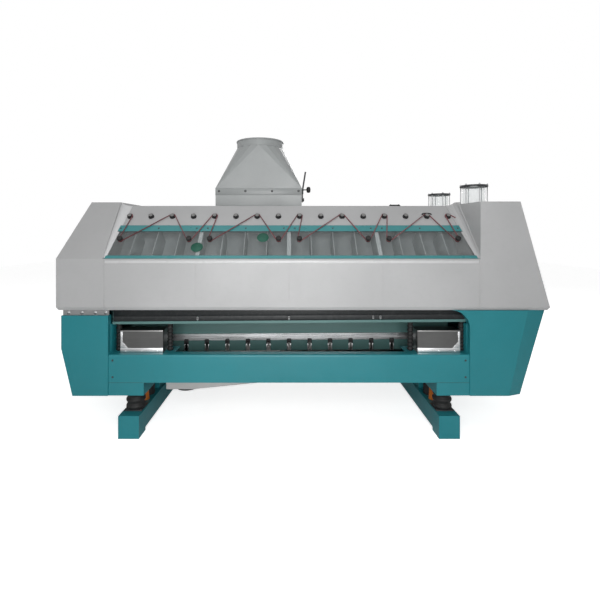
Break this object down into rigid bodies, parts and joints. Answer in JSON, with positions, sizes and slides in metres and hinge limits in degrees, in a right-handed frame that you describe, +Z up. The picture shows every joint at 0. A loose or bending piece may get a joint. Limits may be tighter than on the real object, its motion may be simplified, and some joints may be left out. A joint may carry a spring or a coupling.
{
  "type": "semolina purifier",
  "caption": "Twin-channel flour and semolina purifier: windowed suction hood with duct over a rubber-mounted base.",
  "frame": {"origin": "on the floor, below the centre of the bounding box", "axes": "+Z up, +X towards the feed end, -Y towards the front with the windows seen in the picture"},
  "size_m": [2.65, 1.3, 1.733],
  "materials": {
    "aluminium_rail": "drawn profile",
    "base_paint": "satin teal paint",
    "black_knob": "moulded black",
    "black_rubber": "moulded black",
    "boat_paint": "satin grey-green paint",
    "clear_sheet": "clear sheet",
    "dark_steel": "satin dark grey",
    "grey_rubber": "moulded dark grey",
    "hood_paint": "satin light grey paint",
    "inner_paint": "matt grey paint",
    "leg_paint": "satin grey paint",
    "orange_rubber": "moulded orange",
    "rail_paint": "satin pale teal paint",
    "red_cord": "braided cord",
    "stainless_sheet": "brushed sheet"
  },
  "bodies": {
    "machine": {"air_knobs": "black_knob", "boat_seals": "grey_rubber", "boat_springs": "black_rubber", "collecting_flaps": "boat_paint", "collecting_trough_front": "stainless_sheet", "collecting_trough_rear": "stainless_sheet", "cross_members": "base_paint", "damper_quadrant": "dark_steel", "discharge_end_panel": "base_paint", "discharge_front_panel": "base_paint", "discharge_hood_end": "hood_paint", "discharge_rear_panel": "base_paint", "exhaust_collar": "hood_paint", "exhaust_duct": "hood_paint", "feed_end_panel": "base_paint", "feed_front_panel": "base_paint", "feed_hood_end": "hood_paint", "feed_inlet_frames": "dark_steel", "feed_inlet_glasses": "clear_sheet", "feed_rear_panel": "base_paint", "flap_clips": "black_knob", "flap_rails": "aluminium_rail", "front_beam": "base_paint", "front_cells": "inner_paint", "front_fascia": "hood_paint", "front_knob_strip": "hood_paint", "front_window_rails": "rail_paint", "front_windows": "clear_sheet", "hood_roof": "hood_paint", "hood_seat": "leg_paint", "leg_left": "base_paint", "leg_right": "base_paint", "leg_springs": "black_rubber", "orange_stops": "orange_rubber", "rear_beam": "base_paint", "rear_cells": "inner_paint", "rear_fascia": "hood_paint", "rear_knob_strip": "hood_paint", "rear_window_rails": "rail_paint", "rear_windows": "clear_sheet", "rubber_buffers": "black_rubber", "sieve_boat_front": "boat_paint", "sieve_boat_rear": "boat_paint", "spring_covers": "stainless_sheet", "window_lacing": "red_cord", "window_latches": "black_knob"},
    "damper": {"damper_blade": "stainless_sheet", "damper_lever": "dark_steel", "damper_ball": "black_knob"}
  },
  "joints": [
    {"name": "damper_turn", "type": "hinge", "parent": "machine", "child": "damper", "pos_m": [0, 0, 1.334], "axis": [1, 0, 0], "range_deg": [0, 90]}
  ]
}
